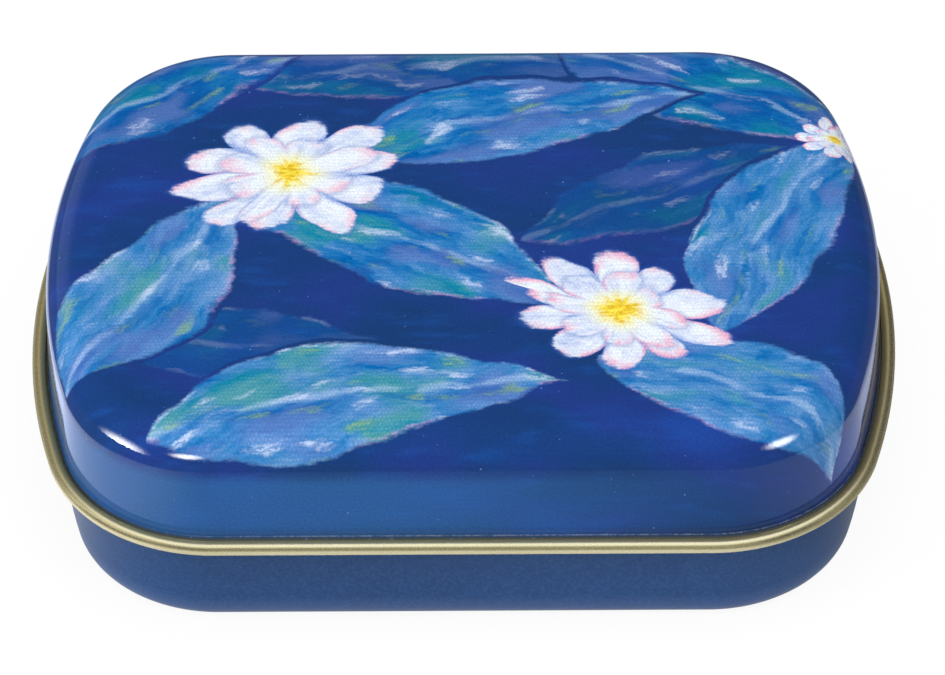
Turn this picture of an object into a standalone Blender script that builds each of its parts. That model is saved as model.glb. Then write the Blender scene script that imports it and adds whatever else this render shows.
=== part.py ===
"""A small hinged tin of drawn tinplate, shut, standing on its base.

Three pieces: the lid with the bead rolled along its edge, the base with its hemmed rim and
two hinge tongues, and the wire in the rear bead that the tongues wrap.
The front faces -Y, the hinge is at +Y, and the floor is at z = 0.
"""

import math

import bmesh
import bpy

MM = 0.001

# Driving sizes of the outline, over the lid's bead
TIN_LENGTH = 62.0 * MM
TIN_DEPTH = 47.5 * MM
CORNER_RADIUS = 12.3 * MM
SIDE_BOW_RADIUS = 53.3 * MM  # the short sides are bowed, the long ones straight

# The sheet both shells are drawn from
SHEET = 0.23 * MM

# Lid
LID_RISE = 8.65 * MM  # from the bead's centre to the flat top
SHOULDER_RADIUS = 2.85 * MM
SKIRT_DRAFT = 0.28 * MM  # how far the skirt leans in up to the shoulder
BEAD_HEIGHT = 8.2 * MM  # centre of the bead above the floor
BEAD_GAP = 0.07 * MM  # the dark crevice between the bead and the skirt
BEAD_END_ANGLE = math.radians(150)  # where the raw edge stops, from straight outward

# Base
LID_CLEARANCE = 0.39 * MM  # between the skirt's inside and the base's wall
SWING_CLEARANCE = 0.15 * MM  # what is left of it at the rim as the lid swings past
HEM_HOLLOW_RADIUS = 0.22 * MM
HEM_END_ANGLE = math.radians(270)
FOOT_RADIUS = 1.5 * MM
FOOT_LAND = 1.2 * MM  # width of the flat ring the tin stands on
PANEL_STEP = 0.6 * MM
PANEL_RISE = 0.35 * MM  # the bottom's middle is drawn up by this much

# Hinge
WIRE_RADIUS = 0.23 * MM
WIRE_CLEARANCE = 0.05 * MM  # from the wire to the bead and to the tongues
WIRE_HOLD = 2.0 * MM  # length of wire in the bead outside each window
WIRE_END_GAP = 0.4 * MM  # from the wire's end to where the bead bends
TONGUE_WIDTH = 7.0 * MM
TONGUE_BEND_RADIUS = 0.35 * MM
TONGUE_END_ANGLE = math.radians(200)
WINDOW_GAP = 0.35 * MM  # between a tongue and each side of its window
WINDOW_RISE = 0.8 * MM  # from the bead's centre up to the window's top edge
LANCE_GAP = 0.12 * MM  # between a tongue's width and the hole it was cut from

# How finely round shapes are divided
SIDE_STEPS = 5
CORNER_STEPS = 12
SHOULDER_STEPS = 7
FOOT_STEPS = 5
CURL_STEP_ANGLE = math.radians(22.5)
HOLLOW_STEP_ANGLE = math.radians(45)
WIRE_SIDES = 16

SMOOTH_BELOW_ANGLE = math.radians(40)
CUT_OVERRUN = 0.5 * MM  # how far every cutter runs past what it cuts

# Worked out from the sizes above
HALF_LENGTH = TIN_LENGTH / 2
HALF_DEPTH = TIN_DEPTH / 2
LID_TOP = BEAD_HEIGHT + LID_RISE
BEAD_HOLLOW_RADIUS = WIRE_RADIUS + WIRE_CLEARANCE
BEAD_RADIUS = BEAD_HOLLOW_RADIUS + SHEET
SKIRT_INSET = 2 * BEAD_RADIUS + BEAD_GAP  # from the bead's outermost line
WALL_INSET = SKIRT_INSET + SHEET + LID_CLEARANCE
WALL_OUTSIDE_Y = HALF_DEPTH - WALL_INSET
HEM_RADIUS = HEM_HOLLOW_RADIUS + SHEET
HINGE_Y = HALF_DEPTH - BEAD_RADIUS

# The rim is as high as the front of the skirt can swing past
SWING_REACH = HINGE_Y + HALF_DEPTH - SKIRT_INSET - SHEET
REACH_AT_RIM = SWING_REACH - LID_CLEARANCE + SWING_CLEARANCE
RIM_TOP = BEAD_HEIGHT + math.sqrt(SWING_REACH**2 - REACH_AT_RIM**2)

# The corner arc touches the straight long edge and the bowed short side
CORNER_Y = HALF_DEPTH - CORNER_RADIUS
BOW_X = HALF_LENGTH - SIDE_BOW_RADIUS
CORNER_X = BOW_X + math.sqrt((SIDE_BOW_RADIUS - CORNER_RADIUS) ** 2 - CORNER_Y**2)
CORNER_START_ANGLE = math.atan2(CORNER_Y, CORNER_X - BOW_X)

# Hinge places along the straight rear edge, worked inwards from where it bends
WIRE_HALF_LENGTH = CORNER_X - WIRE_END_GAP
WINDOW_WIDTH = TONGUE_WIDTH + 2 * WINDOW_GAP
TONGUE_X = WIRE_HALF_LENGTH - WIRE_HOLD - WINDOW_WIDTH / 2
TONGUE_RADIUS = BEAD_RADIUS - SHEET / 2  # of the sheet's middle, round the wire
TONGUE_BEND_START = BEAD_HEIGHT - BEAD_RADIUS - TONGUE_BEND_RADIUS


def clear_scene():
    for obj in list(bpy.data.objects):
        bpy.data.objects.remove(obj, do_unlink=True)


def spread(start, end, steps):
    """Evenly spaced values from start to end, both included."""
    return [start + (end - start) * i / steps for i in range(steps + 1)]


def steps_between(start, end, step_angle):
    return max(1, round(abs(end - start) / step_angle))


def outline(inset):
    """The tin's plan as a closed list of points, drawn in by inset everywhere."""
    quarter = []
    for angle in spread(0, CORNER_START_ANGLE, SIDE_STEPS)[:-1]:
        radius = SIDE_BOW_RADIUS - inset
        quarter.append((BOW_X + radius * math.cos(angle), radius * math.sin(angle)))
    for angle in spread(CORNER_START_ANGLE, math.pi / 2, CORNER_STEPS):
        radius = CORNER_RADIUS - inset
        quarter.append((CORNER_X + radius * math.cos(angle), CORNER_Y + radius * math.sin(angle)))
    left_rear = [(-x, y) for x, y in reversed(quarter)]
    left_front = [(-x, -y) for x, y in quarter[1:]]
    right_front = [(x, -y) for x, y in reversed(quarter[1:])]
    return quarter + left_rear + left_front + right_front


def profile_arc(centre, radii, start, end, step_angle):
    """Points (inset, z) of an arc. Angle 0 points outward and a quarter turn points up."""
    return [
        (centre[0] - radii[0] * math.cos(angle), centre[1] + radii[1] * math.sin(angle))
        for angle in spread(start, end, steps_between(start, end, step_angle))
    ]


def lid_profile():
    """The lid's sheet in section: outer face down to the bead, round it, and back up inside."""
    shoulder = (SKIRT_INSET + SKIRT_DRAFT + SHOULDER_RADIUS, LID_TOP - SHOULDER_RADIUS)
    shoulder_inside = SHOULDER_RADIUS - SHEET
    shoulder_step = math.pi / 2 / SHOULDER_STEPS
    bead = (BEAD_RADIUS, BEAD_HEIGHT)
    flare = SKIRT_INSET - BEAD_RADIUS  # from the bead's centre back to the skirt
    top = math.pi / 2
    inward = math.pi
    down = math.pi * 3 / 2
    raw_edge = 2 * math.pi + BEAD_END_ANGLE

    points = profile_arc(shoulder, (SHOULDER_RADIUS, SHOULDER_RADIUS), top, 0, shoulder_step)
    points += profile_arc(bead, (flare, BEAD_HOLLOW_RADIUS), inward, down, HOLLOW_STEP_ANGLE)
    points += profile_arc(
        bead, (BEAD_HOLLOW_RADIUS, BEAD_HOLLOW_RADIUS), down, raw_edge, HOLLOW_STEP_ANGLE
    )[1:]
    points += profile_arc(bead, (BEAD_RADIUS, BEAD_RADIUS), raw_edge, down, CURL_STEP_ANGLE)
    points += profile_arc(bead, (flare + SHEET, BEAD_RADIUS), down, inward, CURL_STEP_ANGLE)[1:]
    points += profile_arc(shoulder, (shoulder_inside, shoulder_inside), 0, top, shoulder_step)
    return points


def base_profile():
    """The base's sheet in section: underside, foot, wall, the rolled hem, and back down inside."""
    land_inner = WALL_INSET + FOOT_RADIUS + FOOT_LAND
    panel = land_inner + PANEL_STEP
    foot = (WALL_INSET + FOOT_RADIUS, FOOT_RADIUS)
    foot_inside = FOOT_RADIUS - SHEET
    foot_step = math.pi / 2 / FOOT_STEPS
    hem = (WALL_INSET + HEM_RADIUS, RIM_TOP - HEM_RADIUS)
    hem_inside = (HEM_HOLLOW_RADIUS, HEM_HOLLOW_RADIUS)
    down = math.pi * 3 / 2
    outward = 2 * math.pi

    points = [(panel, PANEL_RISE), (land_inner, 0)]
    points += profile_arc(foot, (FOOT_RADIUS, FOOT_RADIUS), down, outward, foot_step)
    points += profile_arc(hem, (HEM_RADIUS, HEM_RADIUS), 0, HEM_END_ANGLE, CURL_STEP_ANGLE)
    points += profile_arc(hem, hem_inside, HEM_END_ANGLE, 0, HOLLOW_STEP_ANGLE)
    points += profile_arc(foot, (foot_inside, foot_inside), outward, down, foot_step)
    points += [(land_inner, SHEET), (panel, PANEL_RISE + SHEET)]
    return points


def add_object(name, mesh, material=None):
    obj = bpy.data.objects.new(name, mesh)
    bpy.context.scene.collection.objects.link(obj)
    if material:
        mesh.materials.append(material)
    return obj


def mesh_from(name, bm):
    """Turns a bmesh into a mesh with its faces pointing out."""
    bmesh.ops.recalc_face_normals(bm, faces=bm.faces)
    mesh = bpy.data.meshes.new(name)
    bm.to_mesh(mesh)
    bm.free()
    return mesh


def shade_round(mesh):
    mesh.shade_smooth()
    mesh.set_sharp_from_angle(angle=SMOOTH_BELOW_ANGLE)


def drawn_shell(name, profile, material):
    """One closed sheet: the plan repeated at each profile point, bridged, and capped at both ends."""
    bm = bmesh.new()
    rings = [[bm.verts.new((x, y, z)) for x, y in outline(inset)] for inset, z in profile]
    count = len(rings[0])
    for ring, following in zip(rings, rings[1:]):
        for i in range(count):
            j = (i + 1) % count
            bm.faces.new((ring[i], ring[j], following[j], following[i]))
    bm.faces.new(rings[0])
    bm.faces.new(rings[-1])
    mesh = mesh_from(name, bm)
    shade_round(mesh)
    return add_object(name, mesh, material)


def as_helper(obj):
    obj.hide_render = True
    obj.display_type = "WIRE"
    return obj


def box_helper(name, low, high):
    bm = bmesh.new()
    bmesh.ops.create_cube(bm, size=1)
    for vert in bm.verts:
        vert.co = [high[axis] if vert.co[axis] > 0 else low[axis] for axis in range(3)]
    return as_helper(add_object(name, mesh_from(name, bm)))


def strip_helper(name, section, low_x, high_x):
    """A section of points (y, z), extruded along X."""
    bm = bmesh.new()
    face = bm.faces.new([bm.verts.new((low_x, y, z)) for y, z in section])
    pushed = bmesh.ops.extrude_face_region(bm, geom=[face])["geom"]
    moved = [part for part in pushed if isinstance(part, bmesh.types.BMVert)]
    bmesh.ops.translate(bm, verts=moved, vec=(high_x - low_x, 0, 0))
    mesh = mesh_from(name, bm)
    shade_round(mesh)
    return as_helper(add_object(name, mesh))


def boolean(obj, helper, operation):
    modifier = obj.modifiers.new(helper.name, "BOOLEAN")
    modifier.object = helper
    modifier.operation = operation
    modifier.solver = "EXACT"


def circle_points(centre, radius, start, end):
    """Points (y, z) on a circle in the section across the hinge, from start to end."""
    return [
        (centre[0] + radius * math.cos(angle), centre[1] + radius * math.sin(angle))
        for angle in spread(start, end, steps_between(start, end, CURL_STEP_ANGLE))
    ]


def tongue_section():
    """The tongue: out of the rear wall, under the wire, round it and down the inner side.

    Its root tapers inside the wall's thickness, so that the two join without shared faces.
    """
    bend = (WALL_OUTSIDE_Y + TONGUE_BEND_RADIUS, TONGUE_BEND_START)
    wire = (HINGE_Y, BEAD_HEIGHT)
    root_y = WALL_OUTSIDE_Y - SHEET / 2
    root_z = TONGUE_BEND_START - 2 * SHEET
    inward = math.pi
    top = math.pi / 2
    down = -math.pi / 2
    under = circle_points(bend, TONGUE_BEND_RADIUS, inward, top)
    under += circle_points(wire, BEAD_RADIUS, down, TONGUE_END_ANGLE)
    over = circle_points(wire, BEAD_HOLLOW_RADIUS, TONGUE_END_ANGLE, down)
    over += circle_points(bend, TONGUE_BEND_RADIUS + SHEET, top, inward)
    return [(root_y, root_z)] + under + over


def tongue_length():
    """The flat length of a tongue, which is the height of the hole it was cut from."""
    bend = (TONGUE_BEND_RADIUS + SHEET / 2) * math.pi / 2
    run = HINGE_Y - WALL_OUTSIDE_Y - TONGUE_BEND_RADIUS
    return bend + run + TONGUE_RADIUS * (TONGUE_END_ANGLE + math.pi / 2)


def make_lid(material):
    lid = drawn_shell("lid", lid_profile(), material)
    for side, x in (("left", -TONGUE_X), ("right", TONGUE_X)):
        low = (
            x - WINDOW_WIDTH / 2,
            WALL_OUTSIDE_Y,
            BEAD_HEIGHT - BEAD_RADIUS - CUT_OVERRUN,
        )
        high = (x + WINDOW_WIDTH / 2, HALF_DEPTH + CUT_OVERRUN, BEAD_HEIGHT + WINDOW_RISE)
        boolean(lid, box_helper("window_cutter_" + side, low, high), "DIFFERENCE")
    return lid


def make_base(material):
    base = drawn_shell("base", base_profile(), material)
    section = tongue_section()
    hole_half = TONGUE_WIDTH / 2 + LANCE_GAP
    hole_low = TONGUE_BEND_START + SHEET / 2
    hole_high = hole_low + tongue_length()
    for side, x in (("left", -TONGUE_X), ("right", TONGUE_X)):
        low = (x - hole_half, WALL_OUTSIDE_Y - SHEET - CUT_OVERRUN, hole_low)
        high = (x + hole_half, WALL_OUTSIDE_Y + CUT_OVERRUN, hole_high)
        boolean(base, box_helper("lance_cutter_" + side, low, high), "DIFFERENCE")
        ends = (x - TONGUE_WIDTH / 2, x + TONGUE_WIDTH / 2)
        boolean(base, strip_helper("tongue_" + side, section, *ends), "UNION")
    return base


def make_hinge_wire(material):
    bm = bmesh.new()
    bmesh.ops.create_cone(
        bm,
        cap_ends=True,
        segments=WIRE_SIDES,
        radius1=WIRE_RADIUS,
        radius2=WIRE_RADIUS,
        depth=2 * WIRE_HALF_LENGTH,
    )
    mesh = mesh_from("hinge_wire", bm)
    shade_round(mesh)
    wire = add_object("hinge_wire", mesh, material)
    wire.rotation_euler = (0, math.pi / 2, 0)
    return wire


def finish(name, colour, metallic, roughness):
    """A material of one piece."""
    material = bpy.data.materials.new(name)
    material.use_nodes = True
    shader = material.node_tree.nodes["Principled BSDF"]
    shader.inputs["Base Color"].default_value = (*colour, 1)
    shader.inputs["Metallic"].default_value = metallic
    shader.inputs["Roughness"].default_value = roughness
    return material


def main():
    clear_scene()
    lid = make_lid(finish("printed_lid", (0.020, 0.042, 0.230), 0.0, 0.25))
    make_base(finish("printed_base", (0.040, 0.085, 0.185), 0.0, 0.35))
    wire = make_hinge_wire(finish("steel_wire", (0.55, 0.54, 0.52), 1.0, 0.35))

    # The lid and its wire turn about this empty, on the bead's centre at the back
    hinge = add_object("lid_hinge", None)
    hinge.location = (0, HINGE_Y, BEAD_HEIGHT)
    lid.parent = hinge
    lid.location = (0, -HINGE_Y, -BEAD_HEIGHT)
    wire.parent = hinge


main()
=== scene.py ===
"""A small hinged tin of drawn tinplate: printed and varnished lid, gold bead, plain satin base.

The front faces -Y, the hinge is at +Y, and the floor is at z = 0. The shells are the solids'
own shapes with finer curves, and the hinge wire is the solid itself.
"""

import math

import bmesh
import bpy
from mathutils import Matrix, Vector, noise


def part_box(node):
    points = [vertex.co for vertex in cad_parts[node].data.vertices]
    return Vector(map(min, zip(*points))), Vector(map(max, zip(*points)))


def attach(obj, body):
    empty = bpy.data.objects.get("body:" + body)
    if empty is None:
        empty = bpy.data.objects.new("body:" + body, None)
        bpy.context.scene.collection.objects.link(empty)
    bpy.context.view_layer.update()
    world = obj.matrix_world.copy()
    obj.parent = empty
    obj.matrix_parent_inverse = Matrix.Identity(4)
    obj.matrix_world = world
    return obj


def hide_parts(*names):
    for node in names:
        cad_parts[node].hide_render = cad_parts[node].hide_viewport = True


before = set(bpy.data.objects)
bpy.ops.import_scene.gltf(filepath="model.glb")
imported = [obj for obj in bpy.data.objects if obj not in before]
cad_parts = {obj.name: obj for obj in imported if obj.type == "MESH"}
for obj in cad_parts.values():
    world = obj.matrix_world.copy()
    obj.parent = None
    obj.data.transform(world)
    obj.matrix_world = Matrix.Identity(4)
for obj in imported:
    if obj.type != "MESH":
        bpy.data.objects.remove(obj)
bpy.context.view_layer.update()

MM = 0.001

# Sizes read from the frame
LID_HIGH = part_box("lid")[1]
BASE_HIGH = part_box("base")[1]
WIRE_LOW, WIRE_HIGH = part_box("hinge_wire")
HALF_LENGTH = LID_HIGH.x
HALF_DEPTH = LID_HIGH.y
LID_TOP = LID_HIGH.z
RIM_TOP = BASE_HIGH.z
HINGE_Y = (WIRE_LOW.y + WIRE_HIGH.y) / 2
BEAD_HEIGHT = (WIRE_LOW.z + WIRE_HIGH.z) / 2

# Sizes of the drawn sheet
CORNER_RADIUS = 12.3 * MM
SIDE_BOW_RADIUS = 53.3 * MM
SHEET = 0.23 * MM
SHOULDER_RADIUS = 2.85 * MM
SKIRT_DRAFT = 0.28 * MM
BEAD_HOLLOW_RADIUS = 0.28 * MM
BEAD_RADIUS = BEAD_HOLLOW_RADIUS + SHEET
BEAD_GAP = 0.07 * MM
BEAD_END_ANGLE = math.radians(150)
LID_CLEARANCE = 0.39 * MM
HEM_HOLLOW_RADIUS = 0.22 * MM
HEM_RADIUS = HEM_HOLLOW_RADIUS + SHEET
HEM_END_ANGLE = math.radians(270)
FOOT_RADIUS = 1.5 * MM
FOOT_LAND = 1.2 * MM
PANEL_STEP = 0.6 * MM
PANEL_RISE = 0.35 * MM
SKIRT_INSET = 2 * BEAD_RADIUS + BEAD_GAP
WALL_INSET = SKIRT_INSET + SHEET + LID_CLEARANCE
WALL_OUTSIDE_Y = HALF_DEPTH - WALL_INSET

# Hinge
WIRE_HOLD = 2.0 * MM
TONGUE_WIDTH = 7.0 * MM
TONGUE_BEND_RADIUS = 0.35 * MM
TONGUE_END_ANGLE = math.radians(200)
WINDOW_GAP = 0.35 * MM
WINDOW_WIDTH = TONGUE_WIDTH + 2 * WINDOW_GAP
WINDOW_RISE = 0.8 * MM
LANCE_GAP = 0.12 * MM
TONGUE_X = WIRE_HIGH.x - WIRE_HOLD - WINDOW_WIDTH / 2
TONGUE_BEND_START = BEAD_HEIGHT - BEAD_RADIUS - TONGUE_BEND_RADIUS
CUT_OVERRUN = 0.5 * MM

# Plan of the tin: straight long sides, bowed short sides and round corners
CORNER_Y = HALF_DEPTH - CORNER_RADIUS
BOW_X = HALF_LENGTH - SIDE_BOW_RADIUS
CORNER_X = BOW_X + math.sqrt((SIDE_BOW_RADIUS - CORNER_RADIUS) ** 2 - CORNER_Y**2)
CORNER_START_ANGLE = math.atan2(CORNER_Y, CORNER_X - BOW_X)

# How finely the shells are divided
SIDE_STEPS = 12
CORNER_STEPS = 48
LONG_STEPS = 18
SHOULDER_STEPS = 18
SKIRT_STEPS = 10
FOOT_STEPS = 10
PANEL_RINGS = 10
CURL_STEP_ANGLE = math.radians(6)
SMOOTH_BELOW_ANGLE = math.radians(35)

# The sheet isn't perfectly even: it lies a little inside the true shape in places
WAVE_DEPTH = 0.025 * MM
WAVE_LENGTH = 11 * MM
DISH_DEPTH = 0.04 * MM
LID_WAVE_SEED = 3.0
BASE_WAVE_SEED = 7.0

# Threads of the canvas that shows through the print, in millimetres on the sheet
THREAD_X = 0.27
THREAD_Y = 0.36

# Lengths of sheet down from the top's edge, in millimetres: where the skirt's painted reflection of
# the bright floor sets in and is full, and where the print ends
PAINTED_SHEEN_FROM = 3.9
PAINTED_SHEEN_TO = 5.4
PRINT_END = 9.81

# How far out a motif is laid: millimetres past a leaf's outline, radii from a blossom's middle
LEAF_MARGIN = 0.25
BLOSSOM_REACH = 1.35

# The camera, as the photograph shows the tin, for a picture of 945 by 675
CAMERA_PLACE = Vector((3.373, -252.73, 229.686)) * MM
CAMERA_ELEVATION = 0.72266
CAMERA_YAW = -0.01089
CAMERA_ROLL = -0.01286
CAMERA_LENS = 177.50
CAMERA_SENSOR = 36
CAMERA_NEAR = 0.01

# The studio. The varnish mirrors sharply and the metal roughly, and each is shown its own room and
# floor: as through a polariser, the varnish gives back much less of them than the metal does.
LAMPS = (
    # name, azimuth, elevation, distance, width, height, radiance
    ("overhead", 10, 66, 0.9, 0.9, 0.9, 2.45),
    ("fill", -75, 14, 0.7, 0.5, 0.3, 4.0),
)
GLINTS = (
    # name, azimuth, elevation, width, height, radiance
    ("left_glint", -62, -1, 0.50, 0.50, 44),
    ("middle_glint", -20, 17, 0.32, 0.22, 46),
    ("right_glint", 49, 17, 0.34, 0.32, 40),
)
GLINT_DISTANCE = 0.6
METAL_ROOM_FRONT = (0.22, 0.22, 0.15, 1)
METAL_ROOM_LEFT = (0.12, 0.11, 0.065, 1)
METAL_ROOM_FAR_LEFT = (0.62, 0.60, 0.48, 1)
METAL_ROOM_RIGHT = (0.01, 0.009, 0.004, 1)
METAL_CEILING = (0.96, 1.00, 1.03, 1)
METAL_FLOOR_LEFT = (0.84, 0.86, 0.86, 1)
METAL_FLOOR_FRONT = (0.60, 0.62, 0.62, 1)
METAL_FLOOR_RIGHT = (0.23, 0.23, 0.19, 1)
METAL_FLOOR_REAR_LEFT = (0.22, 0.22, 0.18, 1)
METAL_FLOOR_REAR_RIGHT = (0.07, 0.07, 0.05, 1)
VARNISH_ROOM = (0.05, 0.07, 0.10, 1)
VARNISH_ROOM_REAR = (0.42, 0.48, 0.66, 1)
VARNISH_FLOOR_LEFT = (1.35, 1.48, 1.85, 1)
VARNISH_FLOOR_FRONT = (0.30, 0.50, 0.88, 1)
VARNISH_FLOOR_RIGHT = (0.70, 0.76, 0.98, 1)
VARNISH_FLOOR_FAR = (0.06, 0.07, 0.10, 1)

# The floor: bright as far as the pool reaches, with other hues at the sides, which end in turn
FLOOR_RADIUS = 3.0
FLOOR_CORNERS = 96
FLOOR_SELF_LIT_SHARE = 0.92
POOL_RADIUS = 54 * MM
POOL_EDGE = 58 * MM
SIDES_FROM = 20 * MM
SIDES_TO = 36 * MM
SIDES_FADE = 44 * MM
SIDES_END = 47 * MM

QUARTER = math.pi / 2
SIDES = (("left", -TONGUE_X), ("right", TONGUE_X))

# A Mix node's first and second input and its result, by the kind of data that it mixes
MIX_SOCKETS = {"FLOAT": (2, 3, 0), "VECTOR": (4, 5, 1), "RGBA": (6, 7, 2)}


def spread(start, end, steps):
    return [start + (end - start) * i / steps for i in range(steps + 1)]


def plan_points():
    """The plan's outermost line as (point, outward normal) pairs, counter-clockwise."""
    quarter = []
    for angle in spread(0, CORNER_START_ANGLE, SIDE_STEPS)[:-1]:
        normal = Vector((math.cos(angle), math.sin(angle)))
        quarter.append((Vector((BOW_X, 0)) + SIDE_BOW_RADIUS * normal, normal))
    for angle in spread(CORNER_START_ANGLE, QUARTER, CORNER_STEPS)[:-1]:
        normal = Vector((math.cos(angle), math.sin(angle)))
        quarter.append((Vector((CORNER_X, CORNER_Y)) + CORNER_RADIUS * normal, normal))
    for x in spread(CORNER_X, 0, LONG_STEPS):
        quarter.append((Vector((x, HALF_DEPTH)), Vector((0, 1))))

    def mirrored(pairs, x_sign, y_sign):
        signs = Vector((x_sign, y_sign))
        return [(point * signs, normal * signs) for point, normal in pairs]

    left_rear = mirrored(reversed(quarter[:-1]), -1, 1)
    left_front = mirrored(quarter[1:], -1, -1)
    right_front = mirrored(reversed(quarter[1:-1]), 1, -1)
    return quarter + left_rear + left_front + right_front


PLAN = plan_points()


def profile_arc(centre, radii, start, end, step_angle=CURL_STEP_ANGLE):
    """Points (inset, z) of an arc. Angle 0 points outward and a quarter turn points up."""
    steps = max(1, round(abs(end - start) / step_angle))
    return [
        (centre[0] - radii[0] * math.cos(angle), centre[1] + radii[1] * math.sin(angle))
        for angle in spread(start, end, steps)
    ]


def profile_line(start, end, steps):
    """Points on a straight stretch, without its two ends."""
    return [
        (start[0] + (end[0] - start[0]) * t, start[1] + (end[1] - start[1]) * t)
        for t in spread(0, 1, steps)[1:-1]
    ]


def lid_faces():
    """The lid's outer and inner face in section, each as points (inset, z) from the top down."""
    shoulder = (SKIRT_INSET + SKIRT_DRAFT + SHOULDER_RADIUS, LID_TOP - SHOULDER_RADIUS)
    inside = SHOULDER_RADIUS - SHEET
    bead = (BEAD_RADIUS, BEAD_HEIGHT)
    flare = SKIRT_INSET - BEAD_RADIUS
    step = QUARTER / SHOULDER_STEPS
    raw_edge = 4 * QUARTER + BEAD_END_ANGLE

    outer = profile_arc(shoulder, (SHOULDER_RADIUS, SHOULDER_RADIUS), QUARTER, 0, step)
    hollow = profile_arc(bead, (flare, BEAD_HOLLOW_RADIUS), 2 * QUARTER, 3 * QUARTER)
    outer += profile_line(outer[-1], hollow[0], SKIRT_STEPS) + hollow
    outer += profile_arc(bead, (BEAD_HOLLOW_RADIUS,) * 2, 3 * QUARTER, raw_edge)[1:]

    inner = profile_arc(shoulder, (inside, inside), QUARTER, 0, step)
    curl = profile_arc(bead, (flare + SHEET, BEAD_RADIUS), 2 * QUARTER, 3 * QUARTER)
    inner += profile_line(inner[-1], curl[0], SKIRT_STEPS) + curl
    inner += profile_arc(bead, (BEAD_RADIUS,) * 2, 3 * QUARTER, raw_edge)[1:]
    return outer, inner


def base_faces():
    """The base's outer and inner face in section, each as points (inset, z) from the bottom up."""
    land_inner = WALL_INSET + FOOT_RADIUS + FOOT_LAND
    panel = land_inner + PANEL_STEP
    foot = (WALL_INSET + FOOT_RADIUS, FOOT_RADIUS)
    inside = FOOT_RADIUS - SHEET
    hem = (WALL_INSET + HEM_RADIUS, RIM_TOP - HEM_RADIUS)
    step = QUARTER / FOOT_STEPS

    outer = [(panel, PANEL_RISE), (land_inner, 0)]
    outer += profile_arc(foot, (FOOT_RADIUS, FOOT_RADIUS), 3 * QUARTER, 4 * QUARTER, step)
    curl = profile_arc(hem, (HEM_RADIUS, HEM_RADIUS), 0, HEM_END_ANGLE)
    outer += profile_line(outer[-1], curl[0], SKIRT_STEPS) + curl

    inner = [(panel, PANEL_RISE + SHEET), (land_inner, SHEET)]
    inner += profile_arc(foot, (inside, inside), 3 * QUARTER, 4 * QUARTER, step)
    hollow = profile_arc(hem, (HEM_HOLLOW_RADIUS,) * 2, 0, HEM_END_ANGLE)
    inner += profile_line(inner[-1], hollow[0], SKIRT_STEPS) + hollow
    return outer, inner


def unevenness(point, seed):
    """From 0 to 1, changing slowly over the sheet."""
    place = Vector(point) / WAVE_LENGTH + Vector((seed, 0, 0))
    return min(1, max(0, 0.5 + 0.5 * noise.noise(place)))


def add_object(name, mesh, materials=()):
    obj = bpy.data.objects.new(name, mesh)
    bpy.context.scene.collection.objects.link(obj)
    for material in materials:
        mesh.materials.append(material)
    return obj


def mesh_from(name, bm):
    bmesh.ops.recalc_face_normals(bm, faces=bm.faces)
    mesh = bpy.data.meshes.new(name)
    bm.to_mesh(mesh)
    bm.free()
    return mesh


def panel_fan(bm, ring, middle_z, dish, seed, material_index):
    """Fills the flat panel inside a ring with smaller rings and a middle point, slightly dished."""
    rings = [ring]
    for share in spread(1, 0, PANEL_RINGS)[1:-1]:
        following = []
        for vert in ring:
            x, y = vert.co.x * share, vert.co.y * share
            sag = dish * (1 - share**2) * unevenness((x, y, 0), seed)
            following.append(bm.verts.new((x, y, middle_z + sag)))
        rings.append(following)
    join_rings(bm, rings, material_index)
    middle = bm.verts.new((0, 0, middle_z + dish * unevenness((0, 0, 0), seed)))
    last = rings[-1]
    for i, vert in enumerate(last):
        face = bm.faces.new((vert, last[(i + 1) % len(last)], middle))
        face.material_index = material_index


def join_rings(bm, rings, material_index):
    count = len(rings[0])
    for ring, following in zip(rings, rings[1:]):
        for i in range(count):
            j = (i + 1) % count
            face = bm.faces.new((ring[i], ring[j], following[j], following[i]))
            face.material_index = material_index


def drawn_shell(name, faces, dish, seed, materials):
    """One closed sheet: each face's profile round the plan, joined at the raw edge."""
    bm = bmesh.new()
    built = []
    for index, profile in enumerate(faces):
        rings = []
        for inset, z in profile:
            ring = []
            for point, normal in PLAN:
                x, y = point - normal * inset
                drawn_in = WAVE_DEPTH * unevenness((x, y, z), seed)
                x, y = point - normal * (inset + drawn_in)
                ring.append(bm.verts.new((x, y, z)))
            rings.append(ring)
        join_rings(bm, rings, index)
        panel_fan(bm, rings[0], profile[0][1], dish, seed, index)
        built.append(rings)
    join_rings(bm, [built[0][-1], built[1][-1]], 0)
    return add_object(name, mesh_from(name, bm), materials)


def box_cutter(name, low, high):
    bm = bmesh.new()
    bmesh.ops.create_cube(bm, size=1)
    for vert in bm.verts:
        vert.co = [high[axis] if vert.co[axis] > 0 else low[axis] for axis in range(3)]
    return add_object(name, mesh_from(name, bm))


def circle_points(centre, radius, start, end):
    steps = max(1, round(abs(end - start) / CURL_STEP_ANGLE))
    return [
        (centre[0] + radius * math.cos(angle), centre[1] + radius * math.sin(angle))
        for angle in spread(start, end, steps)
    ]


def tongue_sides():
    """The tongue's two faces in section, (y, z): the one against the wire and the one away."""
    bend = (WALL_OUTSIDE_Y + TONGUE_BEND_RADIUS, TONGUE_BEND_START)
    wire = (HINGE_Y, BEAD_HEIGHT)
    away = circle_points(bend, TONGUE_BEND_RADIUS, 2 * QUARTER, QUARTER)
    away += circle_points(wire, BEAD_RADIUS, -QUARTER, TONGUE_END_ANGLE)
    near = circle_points(bend, TONGUE_BEND_RADIUS + SHEET, 2 * QUARTER, QUARTER)
    near += circle_points(wire, BEAD_HOLLOW_RADIUS, -QUARTER, TONGUE_END_ANGLE)
    return near, away


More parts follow.
